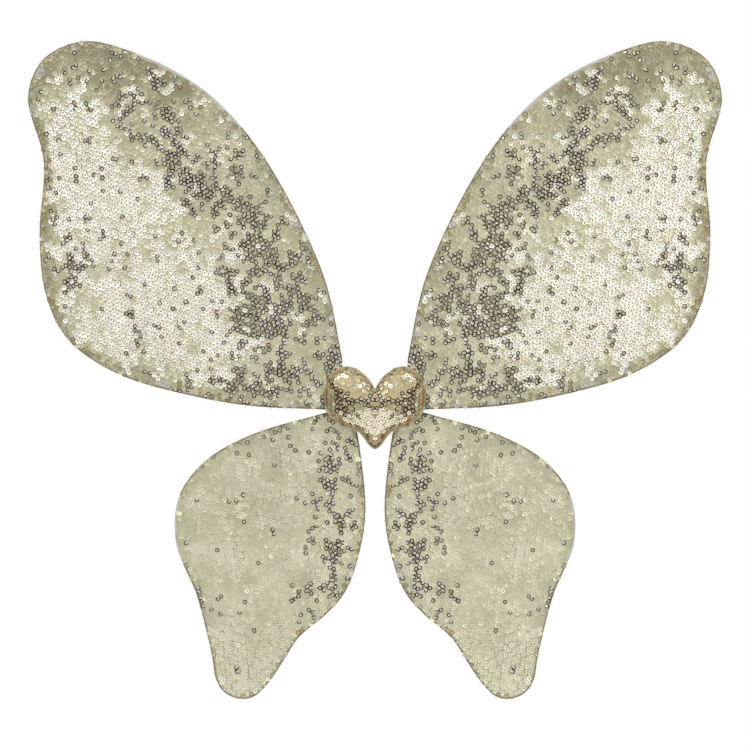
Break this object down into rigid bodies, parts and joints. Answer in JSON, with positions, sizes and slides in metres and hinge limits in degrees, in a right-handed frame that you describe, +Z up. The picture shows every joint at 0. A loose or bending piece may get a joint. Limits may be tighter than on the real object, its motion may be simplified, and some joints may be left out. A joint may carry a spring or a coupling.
{
  "type": "fairy wings",
  "caption": "Child's dress-up fairy wings: sequinned butterfly wings on bendable wire loops, joined behind a padded heart, with elastic arm loops on the wearer's side.",
  "frame": {"origin": "centre of the back pad's outer face, behind the middle of the heart, where the wings rest on the wearer's back", "axes": "+Y out of the back pad towards the wearer, -Y out of the sequinned side, +Z up as worn, +X towards the wearer's right wing"},
  "size_m": [0.4338, 0.062, 0.411],
  "materials": {
    "sequin_cloth": "pale gold metallised sequins on fine mesh",
    "gold_thread": "overlocked edge in gold-brown thread",
    "satin_tape": "silver-grey satin tape, folded and stitched",
    "lining_cloth": "plain woven polyester in champagne",
    "wire": "white coated steel wire",
    "cotton_tape": "woven cotton tape",
    "felt": "needled felt in cream",
    "wadding": "white polyester wadding",
    "elastic": "ribbed woven elastic in ivory"
  },
  "bodies": {
    "centre": {"upper_right_root_cloth": "sequin_cloth", "upper_right_root_lining": "lining_cloth", "upper_right_wire_tail": "wire", "lower_right_root_cloth": "sequin_cloth", "lower_right_root_lining": "lining_cloth", "lower_right_wire_tail": "wire", "right_strap_tab": "felt", "upper_left_root_cloth": "sequin_cloth", "upper_left_root_lining": "lining_cloth", "upper_left_wire_tail": "wire", "lower_left_root_cloth": "sequin_cloth", "lower_left_root_lining": "lining_cloth", "lower_left_wire_tail": "wire", "left_strap_tab": "felt", "heart_cover": "sequin_cloth", "heart_wadding": "wadding", "heart_backing": "felt", "heart_edge_trim": "gold_thread", "back_pad": "felt", "centre_binding": "cotton_tape"},
    "upper_right_wing": {"upper_right_front_cloth": "sequin_cloth", "upper_right_wire_casing": "satin_tape", "upper_right_frame_wire": "wire", "upper_right_lining": "lining_cloth"},
    "lower_right_wing": {"lower_right_front_cloth": "sequin_cloth", "lower_right_wire_casing": "satin_tape", "lower_right_frame_wire": "wire", "lower_right_lining": "lining_cloth"},
    "right_arm_loop": {"right_strap": "elastic"},
    "upper_left_wing": {"upper_left_front_cloth": "sequin_cloth", "upper_left_wire_casing": "satin_tape", "upper_left_frame_wire": "wire", "upper_left_lining": "lining_cloth"},
    "lower_left_wing": {"lower_left_front_cloth": "sequin_cloth", "lower_left_wire_casing": "satin_tape", "lower_left_frame_wire": "wire", "lower_left_lining": "lining_cloth"},
    "left_arm_loop": {"left_strap": "elastic"}
  },
  "joints": [
    {"name": "upper_right_bend", "type": "hinge", "parent": "centre", "child": "upper_right_wing", "pos_m": [0.03263, -0.00735, 0.01632], "axis": [0.4472, 0, -0.8944], "range_deg": [-30, 45]},
    {"name": "lower_right_bend", "type": "hinge", "parent": "centre", "child": "lower_right_wing", "pos_m": [0.01369, -0.00735, -0.0215], "axis": [-0.8434, 0, -0.5373], "range_deg": [0, 35]},
    {"name": "right_strap_swing", "type": "hinge", "parent": "centre", "child": "right_arm_loop", "pos_m": [0.024, -0.0024, -0.0072], "axis": [1, 0, 0], "range_deg": [0, 95]},
    {"name": "upper_left_bend", "type": "hinge", "parent": "centre", "child": "upper_left_wing", "pos_m": [-0.03263, -0.00735, 0.01632], "axis": [0.4472, 0, 0.8944], "range_deg": [-30, 45]},
    {"name": "lower_left_bend", "type": "hinge", "parent": "centre", "child": "lower_left_wing", "pos_m": [-0.01369, -0.00735, -0.0215], "axis": [-0.8434, 0, 0.5373], "range_deg": [0, 35]},
    {"name": "left_strap_swing", "type": "hinge", "parent": "centre", "child": "left_arm_loop", "pos_m": [-0.024, -0.0024, -0.0072], "axis": [1, 0, 0], "range_deg": [0, 95]}
  ]
}
